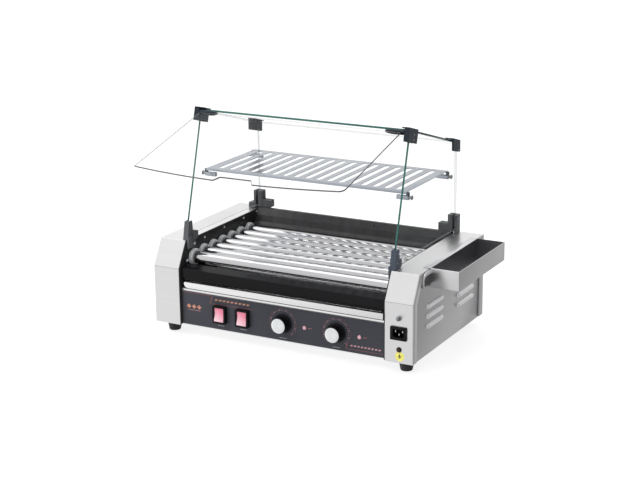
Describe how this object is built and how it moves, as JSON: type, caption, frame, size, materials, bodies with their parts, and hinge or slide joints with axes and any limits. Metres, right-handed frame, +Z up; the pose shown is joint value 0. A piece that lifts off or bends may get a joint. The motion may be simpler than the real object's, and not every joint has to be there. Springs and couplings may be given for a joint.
{
  "type": "hot dog roller grill",
  "caption": "Countertop roller grill: chrome rollers under a glass hood with a hinged clear front flap, bun shelf, drip tray, rocker switches, heat knobs and side utensil caddy.",
  "frame": {"origin": "middle of the whole machine's footprint, at the height of the counter", "axes": "+X to the machine's right as its user faces it, -Y towards the user, +Z up"},
  "size_m": [0.6418, 0.5015, 0.4575],
  "materials": {
    "brushed_steel": "satin stainless steel",
    "polished_chrome": "polished",
    "black_enamel": "glossy black",
    "slate_overlay": "satin dark slate grey",
    "clear_glass": "clear tempered glass with green edges",
    "clear_acrylic": "clear acrylic",
    "black_plastic": "satin black",
    "grey_seal": "grey bearing plastic",
    "black_rubber": "matt",
    "red_lens": "lit red plastic",
    "zinc_plate": "zinc-plated steel",
    "chain_steel": "oiled dark steel"
  },
  "bodies": {
    "machine": {"base_pan": "brushed_steel", "left_casing": "brushed_steel", "right_casing": "brushed_steel", "left_side_panel": "brushed_steel", "right_side_panel": "brushed_steel", "bun_shelf": "brushed_steel", "left_roller_plate": "black_enamel", "right_roller_plate": "black_enamel", "front_fascia": "black_enamel", "rear_panel": "black_enamel", "control_panel": "slate_overlay", "left_glass": "clear_glass", "right_glass": "clear_glass", "top_glass": "clear_glass", "rear_glass": "clear_glass", "power_inlet": "black_plastic", "switch_housing_1": "black_plastic", "switch_housing_2": "black_plastic", "front_left_connector": "black_plastic", "rear_left_connector": "black_plastic", "front_left_post": "black_plastic", "rear_left_post": "black_plastic", "front_right_connector": "black_plastic", "rear_right_connector": "black_plastic", "front_right_post": "black_plastic", "rear_right_post": "black_plastic", "left_seal_1": "grey_seal", "left_seal_2": "grey_seal", "left_seal_3": "grey_seal", "left_seal_4": "grey_seal", "left_seal_5": "grey_seal", "left_seal_6": "grey_seal", "left_seal_7": "grey_seal", "front_left_foot": "black_rubber", "front_right_foot": "black_rubber", "rear_left_foot": "black_rubber", "rear_right_foot": "black_rubber", "pilot_lamp_1": "red_lens", "pilot_lamp_2": "red_lens", "gear_motor": "zinc_plate", "earth_screw": "zinc_plate", "drive_chain": "chain_steel"},
    "roller_1": {"roller_1": "polished_chrome"},
    "roller_2": {"roller_2": "polished_chrome"},
    "roller_3": {"roller_3": "polished_chrome"},
    "roller_4": {"roller_4": "polished_chrome"},
    "roller_5": {"roller_5": "polished_chrome"},
    "roller_6": {"roller_6": "polished_chrome"},
    "roller_7": {"roller_7": "polished_chrome"},
    "motor_sprocket": {"motor_sprocket": "chain_steel"},
    "flap": {"front_flap": "clear_acrylic", "left_flap_hinge": "black_plastic", "right_flap_hinge": "black_plastic"},
    "drip_tray": {"drip_tray": "brushed_steel"},
    "rocker_1": {"rocker_1": "red_lens"},
    "rocker_2": {"rocker_2": "red_lens"},
    "knob_1": {"thermostat_knob_1": "black_plastic"},
    "knob_2": {"thermostat_knob_2": "black_plastic"},
    "reset_button": {"reset_button": "zinc_plate"},
    "utensil_caddy": {"utensil_caddy": "brushed_steel"}
  },
  "joints": [
    {"name": "roller_1_spin", "type": "hinge", "parent": "machine", "child": "roller_1", "pos_m": [-0.0295, -0.0372, 0.154], "axis": [1, 0, 0], "continuous": true},
    {"name": "roller_2_spin", "type": "hinge", "parent": "machine", "child": "roller_2", "pos_m": [-0.0295, -0.0006, 0.154], "axis": [1, 0, 0], "continuous": true},
    {"name": "roller_3_spin", "type": "hinge", "parent": "machine", "child": "roller_3", "pos_m": [-0.0295, 0.036, 0.154], "axis": [1, 0, 0], "continuous": true},
    {"name": "roller_4_spin", "type": "hinge", "parent": "machine", "child": "roller_4", "pos_m": [-0.0295, 0.0726, 0.154], "axis": [1, 0, 0], "continuous": true},
    {"name": "roller_5_spin", "type": "hinge", "parent": "machine", "child": "roller_5", "pos_m": [-0.0295, 0.1092, 0.154], "axis": [1, 0, 0], "continuous": true},
    {"name": "roller_6_spin", "type": "hinge", "parent": "machine", "child": "roller_6", "pos_m": [-0.0295, 0.1458, 0.154], "axis": [1, 0, 0], "continuous": true},
    {"name": "roller_7_spin", "type": "hinge", "parent": "machine", "child": "roller_7", "pos_m": [-0.0295, 0.1824, 0.154], "axis": [1, 0, 0], "continuous": true},
    {"name": "motor_sprocket_spin", "type": "hinge", "parent": "machine", "child": "motor_sprocket", "pos_m": [-0.2705, 0.0726, 0.056], "axis": [1, 0, 0], "continuous": true},
    {"name": "flap_hinge", "type": "hinge", "parent": "machine", "child": "flap", "pos_m": [-0.0295, 0.0028, 0.4462], "axis": [1, 0, 0], "range_deg": [-14, 60]},
    {"name": "drip_tray_slide", "type": "slide", "parent": "machine", "child": "drip_tray", "axis": [0, -1, 0], "range_m": [0, 0.28]},
    {"name": "rocker_1_tilt", "type": "hinge", "parent": "machine", "child": "rocker_1", "pos_m": [-0.167, -0.0886, 0.0573], "axis": [1, 0, 0], "range_deg": [0, 14]},
    {"name": "rocker_2_tilt", "type": "hinge", "parent": "machine", "child": "rocker_2", "pos_m": [-0.1145, -0.0886, 0.0573], "axis": [1, 0, 0], "range_deg": [0, 14]},
    {"name": "thermostat_knob_1_turn", "type": "hinge", "parent": "machine", "child": "knob_1", "pos_m": [-0.0238, -0.0826, 0.06], "axis": [0, 1, 0], "range_deg": [0, 270]},
    {"name": "thermostat_knob_2_turn", "type": "hinge", "parent": "machine", "child": "knob_2", "pos_m": [0.095, -0.0826, 0.06], "axis": [0, 1, 0], "range_deg": [0, 270]},
    {"name": "reset_button_press", "type": "slide", "parent": "machine", "child": "reset_button", "axis": [0, 1, 0], "range_m": [0, 0.003], "stiffness_N_per_m": 300, "springref_m": -0.002},
    {"name": "utensil_caddy_lift", "type": "slide", "parent": "machine", "child": "utensil_caddy", "axis": [0, 0, 1], "range_m": [0, 0.08]}
  ],
  "couplings": [
    {"joint": "roller_2_spin", "follows": "roller_1_spin", "ratio": 1},
    {"joint": "roller_3_spin", "follows": "roller_1_spin", "ratio": 1},
    {"joint": "roller_4_spin", "follows": "roller_1_spin", "ratio": 1},
    {"joint": "roller_5_spin", "follows": "roller_1_spin", "ratio": 1},
    {"joint": "roller_6_spin", "follows": "roller_1_spin", "ratio": 1},
    {"joint": "roller_7_spin", "follows": "roller_1_spin", "ratio": 1},
    {"joint": "motor_sprocket_spin", "follows": "roller_1_spin", "ratio": 1}
  ]
}
